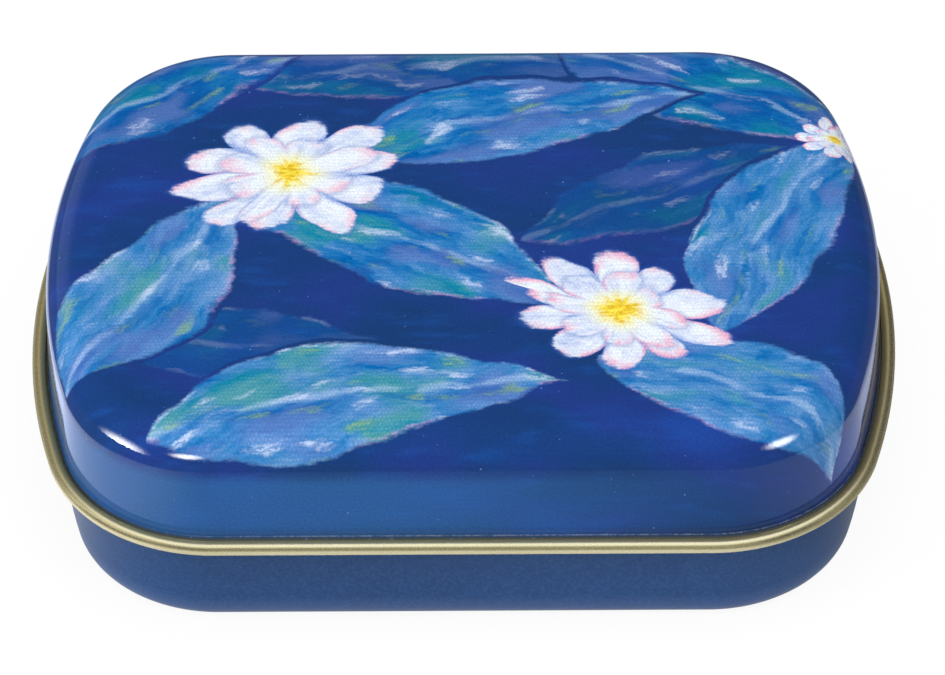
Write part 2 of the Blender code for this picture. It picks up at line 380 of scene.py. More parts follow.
def tongue_strip(name, x, materials):
    near, away = tongue_sides()
    root = (WALL_OUTSIDE_Y - SHEET / 2, TONGUE_BEND_START - 2 * SHEET)
    section = [root] + away + near[::-1]
    bm = bmesh.new()
    ends = []
    for end_x in (x - TONGUE_WIDTH / 2, x + TONGUE_WIDTH / 2):
        ends.append([bm.verts.new((end_x, y, z)) for y, z in section])
    join_rings(bm, ends, 0)
    for end in ends:
        bm.faces.new(end)
    for face in bm.faces:
        middle = face.calc_center_median()
        to_wire = Vector((0, HINGE_Y - middle.y, BEAD_HEIGHT - middle.z)).length
        if to_wire < BEAD_RADIUS - SHEET / 2:
            face.material_index = 1
    return add_object(name, mesh_from(name, bm), materials)


def apply_boolean(obj, helper, operation):
    modifier = obj.modifiers.new(helper.name, "BOOLEAN")
    modifier.object = helper
    modifier.operation = operation
    modifier.solver = "EXACT"
    bpy.context.view_layer.update()
    evaluated = obj.evaluated_get(bpy.context.evaluated_depsgraph_get())
    mesh = bpy.data.meshes.new_from_object(evaluated)
    obj.modifiers.clear()
    obj.data = mesh
    bpy.data.objects.remove(helper, do_unlink=True)


def shade_round(obj):
    obj.data.shade_smooth()
    obj.data.set_sharp_from_angle(angle=SMOOTH_BELOW_ANGLE)


def plan_normal(x, y):
    """How far a point lies inside the plan's outermost line, and the outward normal there."""
    side_x, side_y = abs(x), abs(y)
    if side_x <= CORNER_X and side_y >= CORNER_Y:
        inset, normal = HALF_DEPTH - side_y, Vector((0, 1))
    elif math.atan2(side_y, side_x - BOW_X) <= CORNER_START_ANGLE:
        from_bow = Vector((side_x - BOW_X, side_y))
        inset, normal = SIDE_BOW_RADIUS - from_bow.length, from_bow.normalized()
    else:
        from_corner = Vector((side_x - CORNER_X, side_y - CORNER_Y))
        inset, normal = CORNER_RADIUS - from_corner.length, from_corner.normalized()
    return inset, Vector((math.copysign(normal.x, x), math.copysign(normal.y, y)))


def store_print_places(obj):
    """Each point's place on the flat sheet before it was drawn, and how far down the side it is.

    In millimetres: x and y as on the lid's top, carried on outward down the shoulder and
    skirt, and z as the length of sheet from the top's edge. How far each point lies inside the
    plan's outermost line is stored too.
    """
    edge = SKIRT_INSET + SKIRT_DRAFT + SHOULDER_RADIUS
    shoulder_z = LID_TOP - SHOULDER_RADIUS
    places = []
    insets = []
    for vert in obj.data.vertices:
        inset, normal = plan_normal(vert.co.x, vert.co.y)
        down = 0.0
        flat = Vector((vert.co.x, vert.co.y))
        if inset < edge and vert.co.z < LID_TOP - SHEET / 2:
            turned = math.atan2(edge - inset, max(vert.co.z - shoulder_z, 0))
            down = SHOULDER_RADIUS * turned + max(shoulder_z - vert.co.z, 0)
            flat += normal * (down - (edge - inset))
        places += [flat.x / MM, flat.y / MM, down / MM]
        insets.append(inset / MM)
    attribute = obj.data.attributes.new("print_place", "FLOAT_VECTOR", "POINT")
    attribute.data.foreach_set("vector", places)
    attribute = obj.data.attributes.new("inset", "FLOAT", "POINT")
    attribute.data.foreach_set("value", insets)


class Graph:
    """Adds nodes to a tree and wires them, so that a recipe reads as a formula."""

    def __init__(self, tree):
        self.tree = tree

    def node(self, kind, inputs=None, **settings):
        node = self.tree.nodes.new(kind)
        for name, value in settings.items():
            setattr(node, name, value)
        for name, value in (inputs or {}).items():
            self.feed(node.inputs[name], value)
        return node

    def feed(self, socket, value):
        if isinstance(value, bpy.types.NodeSocket):
            self.tree.links.new(value, socket)
        else:
            socket.default_value = value

    def math(self, operation, *values, clamp=False):
        node = self.node("ShaderNodeMath", operation=operation, use_clamp=clamp)
        for socket, value in zip(node.inputs, values):
            self.feed(socket, value)
        return node.outputs[0]

    def vector(self, operation, *values, scale=None):
        node = self.node("ShaderNodeVectorMath", operation=operation)
        for socket, value in zip(node.inputs, values):
            self.feed(socket, value)
        if scale is not None:
            self.feed(node.inputs["Scale"], scale)
        return node.outputs["Value" if operation == "LENGTH" else "Vector"]

    def combine(self, x=0.0, y=0.0, z=0.0):
        return self.node("ShaderNodeCombineXYZ", {"X": x, "Y": y, "Z": z}).outputs[0]

    def separate(self, vector):
        return self.node("ShaderNodeSeparateXYZ", {"Vector": vector}).outputs

    def noise(self, place, scale, detail=2.0, roughness=0.5, output="Fac"):
        inputs = {"Vector": place, "Scale": scale, "Detail": detail, "Roughness": roughness}
        return self.node("ShaderNodeTexNoise", inputs).outputs[output]

    def step(self, value, low, high, to_low=0.0, to_high=1.0):
        """Rises smoothly from to_low at low to to_high at high."""
        inputs = {"Value": value, "From Min": low, "From Max": high}
        inputs.update({"To Min": to_low, "To Max": to_high})
        node = self.node("ShaderNodeMapRange", inputs, interpolation_type="SMOOTHSTEP")
        return node.outputs["Result"]

    def mix(self, share, first, second, blend="MIX", kind="RGBA"):
        """Mixes two colours, or two numbers or vectors where the kind is FLOAT or VECTOR."""
        first_input, second_input, result = MIX_SOCKETS[kind]
        node = self.node("ShaderNodeMix", data_type=kind, blend_type=blend)
        self.feed(node.inputs[0], share)
        self.feed(node.inputs[first_input], first)
        self.feed(node.inputs[second_input], second)
        return node.outputs[result]

    def ramp(self, value, stops):
        """A colour ramp of (position, colour) stops."""
        node = self.node("ShaderNodeValToRGB", {"Fac": value})
        elements = node.color_ramp.elements
        for element, (position, colour) in zip(elements, stops):
            element.position = position
            element.color = colour
        for position, colour in stops[len(elements):]:
            elements.new(position).color = colour
        return node.outputs["Color"]


def colour(red, green, blue):
    """A linear colour from its values as they show on a screen, 0 to 255."""
    linear = []
    for value in (red, green, blue):
        share = value / 255
        linear.append(share / 12.92 if share <= 0.04045 else ((share + 0.055) / 1.055) ** 2.4)
    return (*linear, 1)


def new_material(name):
    material = bpy.data.materials.new(name)
    material.use_nodes = True
    return material, Graph(material.node_tree), material.node_tree.nodes["Principled BSDF"]


def new_group(name, inputs, outputs):
    """A node group with the given sockets, each a (name, socket type) pair."""
    tree = bpy.data.node_groups.new(name, "ShaderNodeTree")
    for in_out, sockets in (("INPUT", inputs), ("OUTPUT", outputs)):
        for socket_name, kind in sockets:
            tree.interface.new_socket(name=socket_name, in_out=in_out, socket_type=kind)
    start = tree.nodes.new("NodeGroupInput")
    end = tree.nodes.new("NodeGroupOutput")
    return tree, Graph(tree), start.outputs, end.inputs


VALUE = "NodeSocketFloat"
VECTOR = "NodeSocketVector"


def local_place(graph, sockets):
    """The place seen from a motif's centre, turned so that the motif lies along x."""
    moved = graph.vector("SUBTRACT", sockets["Place"], sockets["Centre"])
    back = graph.math("MULTIPLY", sockets["Angle"], -1.0)
    inputs = {"Vector": moved, "Angle": back}
    return graph.node("ShaderNodeVectorRotate", inputs, rotation_type="Z_AXIS").outputs[0]


def leaf_group():
    """Where a place lies on one lance-shaped leaf, or what lies below where the leaf ends.

    Spot is the place along and across the leaf with a number of the leaf's own, Depth is how
    far it lies inside the outline, and Look is the leaf's green, paleness and cover.
    """
    passed = [("Spot", VECTOR), ("Depth", VALUE), ("Look", VECTOR)]
    shape = [("Place", VECTOR), ("Centre", VECTOR), ("Angle", VALUE), ("Length", VALUE),
             ("Width", VALUE), ("Bow", VALUE), ("Own Look", VECTOR)]
    tree, graph, start, end = new_group("leaf", passed + shape, passed)
    x, y, _ = graph.separate(local_place(graph, start))
    along = graph.math("ADD", graph.math("DIVIDE", x, start["Length"]), 0.5, clamp=True)
    arch = graph.math("MULTIPLY", along, graph.math("SUBTRACT", 1.0, along))
    rise = graph.math("MULTIPLY", arch, graph.math("MULTIPLY", start["Bow"], 4.0))
    y = graph.math("SUBTRACT", y, rise)
    swell = graph.math("SINE", graph.math("MULTIPLY", graph.math("POWER", along, 0.8), math.pi))
    half_width = graph.math("MULTIPLY", start["Width"], 0.5)
    half_length = graph.math("MULTIPLY", start["Length"], 0.5)
    past_end = graph.math("SUBTRACT", graph.math("ABSOLUTE", x), half_length)
    outline = graph.math("MULTIPLY", swell, half_width)
    depth = graph.math("SUBTRACT", outline, graph.math("ABSOLUTE", y))
    depth = graph.math("SUBTRACT", depth, graph.math("MAXIMUM", past_end, 0.0))
    here = graph.math("GREATER_THAN", depth, -LEAF_MARGIN)
    spot = graph.combine(x, y, graph.math("MULTIPLY", start["Length"], 3.7))
    look = start["Own Look"]
    graph.feed(end["Spot"], graph.mix(here, start["Spot"], spot, kind="VECTOR"))
    graph.feed(end["Depth"], graph.mix(here, start["Depth"], depth, kind="FLOAT"))
    graph.feed(end["Look"], graph.mix(here, start["Look"], look, kind="VECTOR"))
    return tree


def blossom_group():
    """Where a place lies on one round blossom, in radii, or on the blossoms before it."""
    passed = [("Spot", VECTOR), ("Pinkness", VALUE)]
    shape = [("Place", VECTOR), ("Centre", VECTOR), ("Angle", VALUE), ("Radius", VALUE),
             ("Stretch", VALUE), ("Own Pinkness", VALUE)]
    tree, graph, start, end = new_group("blossom", passed + shape, passed)
    x, y, _ = graph.separate(local_place(graph, start))
    x = graph.math("DIVIDE", x, start["Radius"])
    y = graph.math("DIVIDE", graph.math("MULTIPLY", y, start["Stretch"]), start["Radius"])
    reach = graph.vector("LENGTH", graph.combine(x, y))
    here = graph.math("LESS_THAN", reach, BLOSSOM_REACH)
    spot = graph.combine(x, y, start["Radius"])
    pinkness = start["Own Pinkness"]
    graph.feed(end["Spot"], graph.mix(here, start["Spot"], spot, kind="VECTOR"))
    graph.feed(end["Pinkness"], graph.mix(here, start["Pinkness"], pinkness, kind="FLOAT"))
    return tree


def painted_leaves(graph, under, bristle, spot, depth, look):
    """Lays the leaves' strokes over the ground."""
    x, y, seed = graph.separate(spot)
    green_share, paleness, strength = graph.separate(look)

    # Broad soft patches, with ragged brush strokes along the leaf and the fine lines of bristles
    frayed_x = graph.math("MULTIPLY_ADD", bristle, 2.4, x)
    frayed_y = graph.math("MULTIPLY_ADD", bristle, 0.9, y)

    def along_leaf(x_scale, y_scale, detail, roughness=0.5):
        scaled_x = graph.math("MULTIPLY", frayed_x, x_scale)
        scaled_y = graph.math("MULTIPLY", frayed_y, y_scale)
        return graph.noise(graph.combine(scaled_x, scaled_y, seed), 1.0, detail, roughness)

    patch = along_leaf(0.15, 0.32, 1.6)
    stroke = along_leaf(0.36, 1.00, 2.0, 0.5)
    line = along_leaf(1.10, 3.20, 1.5, 0.6)
    tone = graph.math("MULTIPLY_ADD", patch, 0.58, graph.math("MULTIPLY", stroke, 0.26))
    tone = graph.math("MULTIPLY_ADD", line, 0.16, tone)
    tone = graph.math("ADD", tone, paleness)
    blue = graph.ramp(tone, [
        (0.38, colour(0, 82, 152)), (0.44, colour(10, 98, 166)), (0.50, colour(46, 116, 176)),
        (0.56, colour(78, 131, 187)), (0.66, colour(118, 153, 199)),
    ])
    green = graph.ramp(tone, [
        (0.38, colour(0, 90, 142)), (0.47, colour(0, 112, 150)), (0.54, colour(22, 125, 153)),
        (0.66, colour(76, 144, 158)),
    ])
    hue = along_leaf(0.15, 0.26, 1.5)
    greenness = graph.step(graph.math("ADD", hue, green_share), 0.52, 0.68)
    paint = graph.mix(greenness, blue, green)
    paint = graph.mix(graph.step(hue, 0.46, 0.34, 0.0, 0.35), paint, colour(126, 142, 200))

    # A pale rib with a darker stroke below it
    from_rib = graph.math("ABSOLUTE", y)
    rib = graph.math("MULTIPLY", graph.step(from_rib, 0.5, 0.1), graph.step(stroke, 0.36, 0.60))
    paint = graph.mix(graph.math("MULTIPLY", rib, 0.40), paint, colour(168, 190, 224))
    shade = graph.math("MULTIPLY", graph.step(y, -0.1, -0.6), graph.step(y, -1.6, -0.8))
    shade = graph.math("MULTIPLY", shade, graph.step(stroke, 0.60, 0.40, 0.0, 0.4))
    paint = graph.mix(shade, paint, colour(10, 84, 164))

    # Dabs of white and yellow-green, and rosy dry strokes along the rim
    dab = along_leaf(0.30, 0.85, 0.6, 0.4)
    broken = graph.step(line, 0.38, 0.56, 0.3, 1.0)
    white = graph.math("MULTIPLY", graph.step(dab, 0.63, 0.78, 0.0, 0.65), broken)
    paint = graph.mix(white, paint, colour(200, 209, 234))
    mossy = graph.math("MULTIPLY", graph.step(dab, 0.36, 0.22, 0.0, 0.55), broken)
    paint = graph.mix(mossy, paint, colour(132, 168, 104))
    rim = graph.math("MULTIPLY", graph.step(depth, 0.75, 0.25), graph.step(hue, 0.46, 0.60))
    rim = graph.math("MULTIPLY", rim, graph.step(line, 0.38, 0.62, 0.1, 0.8))
    rosy = graph.mix(graph.step(y, 0.4, -0.4), colour(184, 198, 234), colour(178, 140, 196))
    paint = graph.mix(rim, paint, rosy)

    ragged = graph.math("MULTIPLY", graph.math("SUBTRACT", bristle, 0.5), 0.8)
    cover = graph.step(graph.math("ADD", depth, ragged), 0.02, 0.48)
    return graph.mix(graph.math("MULTIPLY", cover, strength), under, paint)


def painted_blossoms(graph, under, bristle, spot, pinkness):
    """Lays two whorls of uneven petals about a yellow middle over the paint."""
    x, y, seed = graph.separate(spot)
    reach = graph.vector("LENGTH", graph.combine(x, y))
    turn = graph.math("ARCTAN2", y, x)
    rough = graph.math("MULTIPLY", graph.math("SUBTRACT", bristle, 0.5), 0.14)
    around_x = graph.math("MULTIPLY", graph.math("COSINE", turn), 3.0)
    around_y = graph.math("MULTIPLY", graph.math("SINE", turn), 3.0)
    grain_place = graph.combine(around_x, around_y, graph.math("ADD", seed, reach))
    grain = graph.noise(grain_place, 1.0, 3.0, 0.6)
    tone = graph.math("MULTIPLY_ADD", bristle, 0.3, graph.math("MULTIPLY", grain, 0.7))
    petals = graph.ramp(tone, [
        (0.32, colour(150, 166, 212)), (0.44, colour(196, 204, 228)), (0.56, colour(222, 226, 234)),
    ])
    paint = under
    for count, outer, waist, offset in ((10, 1.0, 0.60, 0.0), (8, 0.66, 0.40, 0.6)):
        turned = graph.math("ADD", turn, offset)
        number = graph.math("ROUND", graph.math("MULTIPLY", turned, count / (2 * math.pi)))
        number_place = graph.combine(graph.math("MULTIPLY", number, 0.73), seed)
        longest = graph.math("MULTIPLY_ADD", graph.noise(number_place, 1.0, 0.0), 0.5, outer - 0.25)
        swing = graph.math("COSINE", graph.math("MULTIPLY", turned, count / 2))
        lobe = graph.math("POWER", graph.math("ABSOLUTE", swing), 0.55)
        edge = graph.math("MULTIPLY_ADD", lobe, graph.math("SUBTRACT", longest, waist), waist)
        inside = graph.math("ADD", graph.math("SUBTRACT", edge, reach), rough)
        paint = graph.mix(graph.step(inside, -0.09, 0.04, 0.0, 0.5), paint, colour(48, 92, 176))
        gap = graph.step(reach, 0.2, 0.6, 0.0, 0.6)
        gap = graph.math("MULTIPLY", graph.step(lobe, 0.66, 0.30), gap)
        petal = graph.mix(gap, petals, colour(112, 140, 204))
        tip = graph.math("MULTIPLY", graph.step(inside, 0.20, 0.03), graph.step(grain, 0.44, 0.62))
        petal = graph.mix(graph.math("MULTIPLY", tip, pinkness), petal, colour(224, 150, 182))
        paint = graph.mix(graph.step(inside, -0.03, 0.05), paint, petal)
    heart = graph.math("MULTIPLY_ADD", graph.math("SUBTRACT", grain, 0.5), 0.34, reach)
    heart = graph.math("ADD", heart, rough)
    paint = graph.mix(graph.step(heart, 0.40, 0.16, 0.0, 0.75), paint, colour(238, 232, 166))
    gold = graph.mix(graph.step(bristle, 0.35, 0.65), colour(214, 168, 30), colour(244, 222, 80))
    return graph.mix(graph.step(heart, 0.24, 0.10), paint, gold)


# The print's motifs, in millimetres on the flat sheet
LEAVES = (
    # centre, angle in degrees, length, width, bow, (green, paleness, cover)
    ((-2.0, 18.5), 4, 30, 8.0, 1.0, (0.06, -0.12, 0.45)),
    ((-14.0, -11.0), -12, 27, 8.0, -1.2, (0.05, -0.14, 0.35)),
    ((16.0, 4.0), 24, 26, 8.0, 1.2, (0.06, -0.14, 0.35)),
    ((-22.0, 15.0), 30, 23, 8.5, 1.0, (0.02, -0.07, 0.85)),
    ((19.5, 16.5), -24, 27.5, 9.5, -1.2, (0.06, -0.08, 0.85)),
    ((4.0, 12.0), 14, 28, 9.5, 1.4, (0.00, -0.01, 1.0)),
    ((-22.5, -4.5), 60, 25, 10.0, -1.5, (-0.02, 0.03, 1.0)),
    ((-3.5, -2.5), -28, 27.2, 10.5, 1.5, (0.04, 0.0, 1.0)),
    ((23.5, 1.0), 64, 25.4, 10.0, 1.4, (-0.02, 0.02, 1.0)),
    ((-7.0, -18.5), 10, 30.3, 10.5, 1.6, (0.02, 0.04, 1.0)),
    ((19.6, -17.6), -24, 22.4, 9.8, 1.0, (0.0, 0.03, 1.0)),
)
BLOSSOMS = (
    # centre, angle in degrees, radius, stretch, pinkness
    ((-12.5, 6.5), 12, 8.2, 1.25, 0.6),
    ((11.0, -8.5), -20, 7.6, 1.30, 0.8),
    ((27.0, 11.0), 40, 2.7, 1.0, 1.0),
)


def find_motifs(graph, group, names, rows, found, place):
    """Passes what is found of one motif on to the next, so that later ones lie on top."""
    for row in rows:
        values = dict(zip(names, row), Place=place, **found)
        values["Centre"] = (*values["Centre"], 0)
        values["Angle"] = math.radians(values["Angle"])
        node = graph.node("ShaderNodeGroup", node_tree=group)
        for name, value in values.items():
            graph.feed(node.inputs[name], value)
        found = {name: node.outputs[name] for name in found}
    return found.values()


def painted_ground(graph, flat, place, x, down):
    """Deep blue with broad paler streaks, and painted floor reflection down the skirt, most at the
    left.
    """
    broad = graph.noise(graph.vector("MULTIPLY", place, (0.07, 0.13, 0.0)), 1.0, 2.0, 0.5)
    ground = graph.ramp(broad, [
        (0.36, colour(22, 54, 106)), (0.46, colour(24, 55, 114)), (0.56, colour(30, 53, 122)),
        (0.68, colour(28, 62, 138)),
    ])
    streak = graph.noise(graph.vector("MULTIPLY", flat, (0.18, 0.6, 0.0)), 1.0, 2.0, 0.6)
    ground = graph.mix(graph.step(streak, 0.50, 0.80, 0.0, 0.4), ground, colour(26, 78, 158))
    # Painted reflection of the bright floor: paler down the skirt, most at the left
    sheen_leftward = graph.step(x, 24.0, -8.0, 0.0, 0.55)
    painted_sheen = graph.math("MULTIPLY", graph.step(down, PAINTED_SHEEN_FROM, PAINTED_SHEEN_TO), sheen_leftward)
    return graph.mix(painted_sheen, ground, colour(44, 100, 160))


def print_edge(graph, ground, flat, x, down):
    """Ends the print in a worn pale line, faint at the left; below it, an unprinted margin painted
    light in the crevice's shade.
    """
    line_top = graph.step(down, PRINT_END - 0.15, PRINT_END - 0.06)
    line_foot = graph.step(down, PRINT_END + 0.05, PRINT_END - 0.03)
    chipped = graph.step(graph.noise(flat, 2.2, 3.0, 0.8), 0.40, 0.60, 0.15, 0.85)
    chipped = graph.math("MULTIPLY", chipped, graph.step(x, -24.0, -8.0, 0.2, 1.0))
    line = graph.math("MULTIPLY", graph.math("MULTIPLY", line_top, line_foot), chipped)
    ground = graph.mix(line, ground, colour(146, 156, 184))
    # Unprinted margin over the crevice above the bead, its grey painted lighter to stand against
    # the crevice's shade
    outermost = graph.step(down, PRINT_END + 0.12, PRINT_END + 0.32)
    margin_with_painted_light = graph.mix(outermost, colour(76, 86, 102), colour(108, 113, 104))
    return graph.mix(graph.step(down, PRINT_END, PRINT_END + 0.16), ground, margin_with_painted_light)


def painted_motifs(graph, ground, place, bristle):
    """Leaves over the ground, and blossoms over the leaves."""
    names = ("Centre", "Angle", "Length", "Width", "Bow", "Own Look")
    nothing = {"Spot": (0, 0, 0), "Depth": -1.0, "Look": (0, 0, 0)}
    spot, depth, look = find_motifs(graph, leaf_group(), names, LEAVES, nothing, place)
    paint = painted_leaves(graph, ground, bristle, spot, depth, look)
    names = ("Centre", "Angle", "Radius", "Stretch", "Own Pinkness")
    nothing = {"Spot": (2.0, 2.0, 0.0), "Pinkness": 0.0}
    spot, pinkness = find_motifs(graph, blossom_group(), names, BLOSSOMS, nothing, place)
    return painted_blossoms(graph, paint, bristle, spot, pinkness)


def canvas_weave(graph, paint, flat, x, y):
    """Lets woven threads show through the paint, most where it is pale."""
    loose = graph.noise(flat, 1.7, 2.0, 0.6)
    row = graph.math("MULTIPLY_ADD", loose, 0.8, graph.math("DIVIDE", y, THREAD_Y))
    staggered = graph.math("MULTIPLY", graph.math("FLOOR", row), QUARTER)
    shift = graph.math("MULTIPLY_ADD", loose, 5.0, staggered)
    warp = graph.math("MULTIPLY_ADD", x, math.pi / THREAD_X, shift)
    warp = graph.math("ABSOLUTE", graph.math("SINE", warp))
    weft = graph.math("ABSOLUTE", graph.math("SINE", graph.math("MULTIPLY", row, math.pi)))
    threads = graph.math("MULTIPLY", warp, weft)
    brightness = graph.node("ShaderNodeRGBToBW", {"Color": paint}).outputs[0]
    white_share = graph.step(brightness, 0.35, 0.60)
    between = graph.mix(white_share, (0.60, 0.82, 0.93, 1), (0.84, 0.91, 0.96, 1))
    on_thread = graph.mix(white_share, (1.28, 1.10, 1.04, 1), (1.09, 1.05, 1.03, 1))
    woven = graph.mix(threads, between, on_thread)
    worn = graph.step(graph.noise(flat, 0.9, 3.0, 0.7), 0.66, 0.38, 0.45, 1.0)
    paleness = graph.math("MULTIPLY", graph.step(brightness, 0.04, 0.26, 0.15, 1.0), worn)
    fine = graph.step(graph.noise(flat, 5.0, 1.0), 0.3, 0.7, 0.92, 1.08)
    paint = graph.mix(paleness, paint, graph.mix(1.0, paint, woven, blend="MULTIPLY"))
    return graph.mix(1.0, paint, graph.combine(fine, fine, fine), blend="MULTIPLY")


def painted_print(graph, flat, x, y, down):
    """The print's colour: blossoms and leaves brushed over deep blue, on canvas."""
    # An unsteady hand moves every edge, and bristles leave fine lines and gaps
    wander = graph.noise(flat, 0.17, 1.2, 0.5, "Color")
    wander = graph.vector("SUBTRACT", wander, (0.5, 0.5, 0.5))
    place = graph.vector("ADD", flat, graph.vector("SCALE", wander, scale=2.7))
    place = graph.vector("MULTIPLY", place, (1.0, 1.0, 0.0))
    bristle = graph.noise(graph.vector("MULTIPLY", flat, (1.0, 2.2, 1.0)), 1.1, 3.5, 0.68)
    ground = painted_ground(graph, flat, place, x, down)
    ground = print_edge(graph, ground, flat, x, down)
    paint = painted_motifs(graph, ground, place, bristle)
    return canvas_weave(graph, paint, flat, x, y)


def print_material():
    """The lid's outer face: a painterly print of leaves and blossoms under clear varnish."""
    material, graph, shader = new_material("varnished_print")
    sheet = graph.node("ShaderNodeAttribute", attribute_name="print_place").outputs["Vector"]
    x, y, down = graph.separate(sheet)
    flat = graph.combine(x, y)
    paint = painted_print(graph, flat, x, y, down)

    # Pale specks, more of them near the print's edge
    by_edge = graph.step(down, PRINT_END - 0.51, PRINT_END - 0.01, 0.0, 0.10)
    speck = graph.math("ADD", graph.noise(flat, 3.4, 0.0), by_edge)
    paint = graph.mix(graph.step(speck, 0.86, 0.88, 0.0, 0.45), paint, colour(130, 156, 210))
    graph.feed(shader.inputs["Base Color"], paint)

    shader.inputs["Roughness"].default_value = 0.6
    shader.inputs["Specular IOR Level"].default_value = 0.0
    shader.inputs["Coat Weight"].default_value = 1.0
    shader.inputs["Coat Roughness"].default_value = 0.0
    shader.inputs["Coat IOR"].default_value = 1.36
    peel = graph.noise(flat, 4.2, 2.0, 0.6)
    bump = graph.node("ShaderNodeBump", {"Height": peel, "Strength": 0.35, "Distance": 0.01 * MM})
    graph.feed(shader.inputs["Coat Normal"], bump.outputs["Normal"])
    return material


def lacquer_material():
    """The sheet's inner face, with the bead rolled from it: champagne-gold lacquer on tin."""
    material, graph, shader = new_material("gold_lacquer")
    place = graph.node("ShaderNodeTexCoord").outputs["Object"]
    grain = graph.noise(place, 4200.0, 1.0)
    cloud = graph.noise(place, 140.0, 2.0)
    tint = graph.mix(graph.step(grain, 0.3, 0.7), colour(241, 230, 190), colour(247, 236, 197))
    tint = graph.mix(graph.step(cloud, 0.4, 0.7, 0.0, 0.3), tint, colour(229, 214, 168))

    # Where the bead turns in toward the skirt, the gold is painted darker and yellower as shade of
    # the crevice, and rougher
    inset = graph.node("ShaderNodeAttribute", attribute_name="inset").outputs["Fac"]
    bead_middle = BEAD_RADIUS / MM
    turns_in = graph.step(inset, 0.7 * bead_middle, 1.05 * bead_middle)
    bead_only = graph.step(inset, 2.3 * bead_middle, 2.1 * bead_middle)
    painted_shade_and_rough = graph.math("MULTIPLY", turns_in, bead_only)
    # Painted shade: darker, yellower gold beside the skirt
    tint = graph.mix(painted_shade_and_rough, tint, colour(236, 214, 148))
    graph.feed(shader.inputs["Base Color"], tint)
    shader.inputs["Metallic"].default_value = 0.9
    roughness = graph.step(grain, 0.2, 0.8, 0.26, 0.29)
    graph.feed(shader.inputs["Roughness"], graph.math("MULTIPLY_ADD", painted_shade_and_rough, 0.16, roughness))
    bump = graph.node("ShaderNodeBump", {"Height": cloud, "Strength": 0.2, "Distance": 0.01 * MM})
    graph.feed(shader.inputs["Normal"], bump.outputs["Normal"])
    return material


def base_paint_material():
    """The base's outer face: plain satin blue with a fine grain, paler round the foot by painted
    floor light.
    """
    material, graph, shader = new_material("satin_blue")
    place = graph.node("ShaderNodeTexCoord").outputs["Object"]
    grain = graph.noise(place, 5200.0, 2.0, 0.6)
    cloud = graph.noise(place, 60.0, 3.0)
    tint = graph.mix(cloud, colour(0, 52, 102), colour(12, 64, 123))
    tint = graph.mix(graph.step(grain, 0.35, 0.75, 0.0, 0.3), tint, colour(52, 98, 166))
    # Painted light: paler round the foot, standing in for the bright floor that lights it
    up = graph.separate(place)[2]
    painted_floor_light = graph.step(up, 1.7 * FOOT_RADIUS, 0.4 * FOOT_RADIUS, 0.0, 0.45)
    tint = graph.mix(painted_floor_light, tint, colour(92, 112, 158))
    graph.feed(shader.inputs["Base Color"], tint)
    shader.inputs["Roughness"].default_value = 0.34
    shader.inputs["Specular IOR Level"].default_value = 0.4
    bump = graph.node("ShaderNodeBump", {"Height": grain, "Strength": 0.06, "Distance": 0.01 * MM})
    graph.feed(shader.inputs["Normal"], bump.outputs["Normal"])
    return material


def steel_material():
    """The hinge wire: drawn steel, finely lined along its length."""
    material, graph, shader = new_material("drawn_steel")
    place = graph.node("ShaderNodeTexCoord").outputs["Object"]
    lines = graph.noise(graph.vector("MULTIPLY", place, (0.05, 1.0, 1.0)), 6000.0, 2.0)
    tint = graph.mix(lines, colour(150, 148, 142), colour(205, 204, 200))
    graph.feed(shader.inputs["Base Color"], tint)
    shader.inputs["Metallic"].default_value = 1.0
    graph.feed(shader.inputs["Roughness"], graph.step(lines, 0.2, 0.8, 0.28, 0.45))
    return material


def make_lid(print_face, lacquer):
    materials = (print_face, lacquer)
    lid = drawn_shell("printed_lid_shell", lid_faces(), -DISH_DEPTH, LID_WAVE_SEED, materials)
    for side, x in SIDES:
        low = (x - WINDOW_WIDTH / 2, WALL_OUTSIDE_Y, BEAD_HEIGHT - BEAD_RADIUS - CUT_OVERRUN)
        high = (x + WINDOW_WIDTH / 2, HALF_DEPTH + CUT_OVERRUN, BEAD_HEIGHT + WINDOW_RISE)
        apply_boolean(lid, box_cutter("window_cutter_" + side, low, high), "DIFFERENCE")
    shade_round(lid)
    store_print_places(lid)
    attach(lid, "lid")
    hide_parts("lid")


def make_base(paint, lacquer):
    materials = (paint, lacquer)
    base = drawn_shell("blue_base_shell", base_faces(), DISH_DEPTH, BASE_WAVE_SEED, materials)
    wrap = (BEAD_RADIUS - SHEET / 2) * (TONGUE_END_ANGLE + QUARTER)
    run = HINGE_Y - WALL_OUTSIDE_Y - TONGUE_BEND_RADIUS
    hole_low = TONGUE_BEND_START + SHEET / 2
    hole_high = hole_low + (TONGUE_BEND_RADIUS + SHEET / 2) * QUARTER + run + wrap
    hole_half = TONGUE_WIDTH / 2 + LANCE_GAP
    for side, x in SIDES:
        low = (x - hole_half, WALL_OUTSIDE_Y - SHEET - CUT_OVERRUN, hole_low)
        high = (x + hole_half, WALL_OUTSIDE_Y + CUT_OVERRUN, hole_high)
        apply_boolean(base, box_cutter("lance_cutter_" + side, low, high), "DIFFERENCE")
        apply_boolean(base, tongue_strip("tongue_" + side, x, materials), "UNION")
    shade_round(base)
    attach(base, "base")
    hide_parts("base")


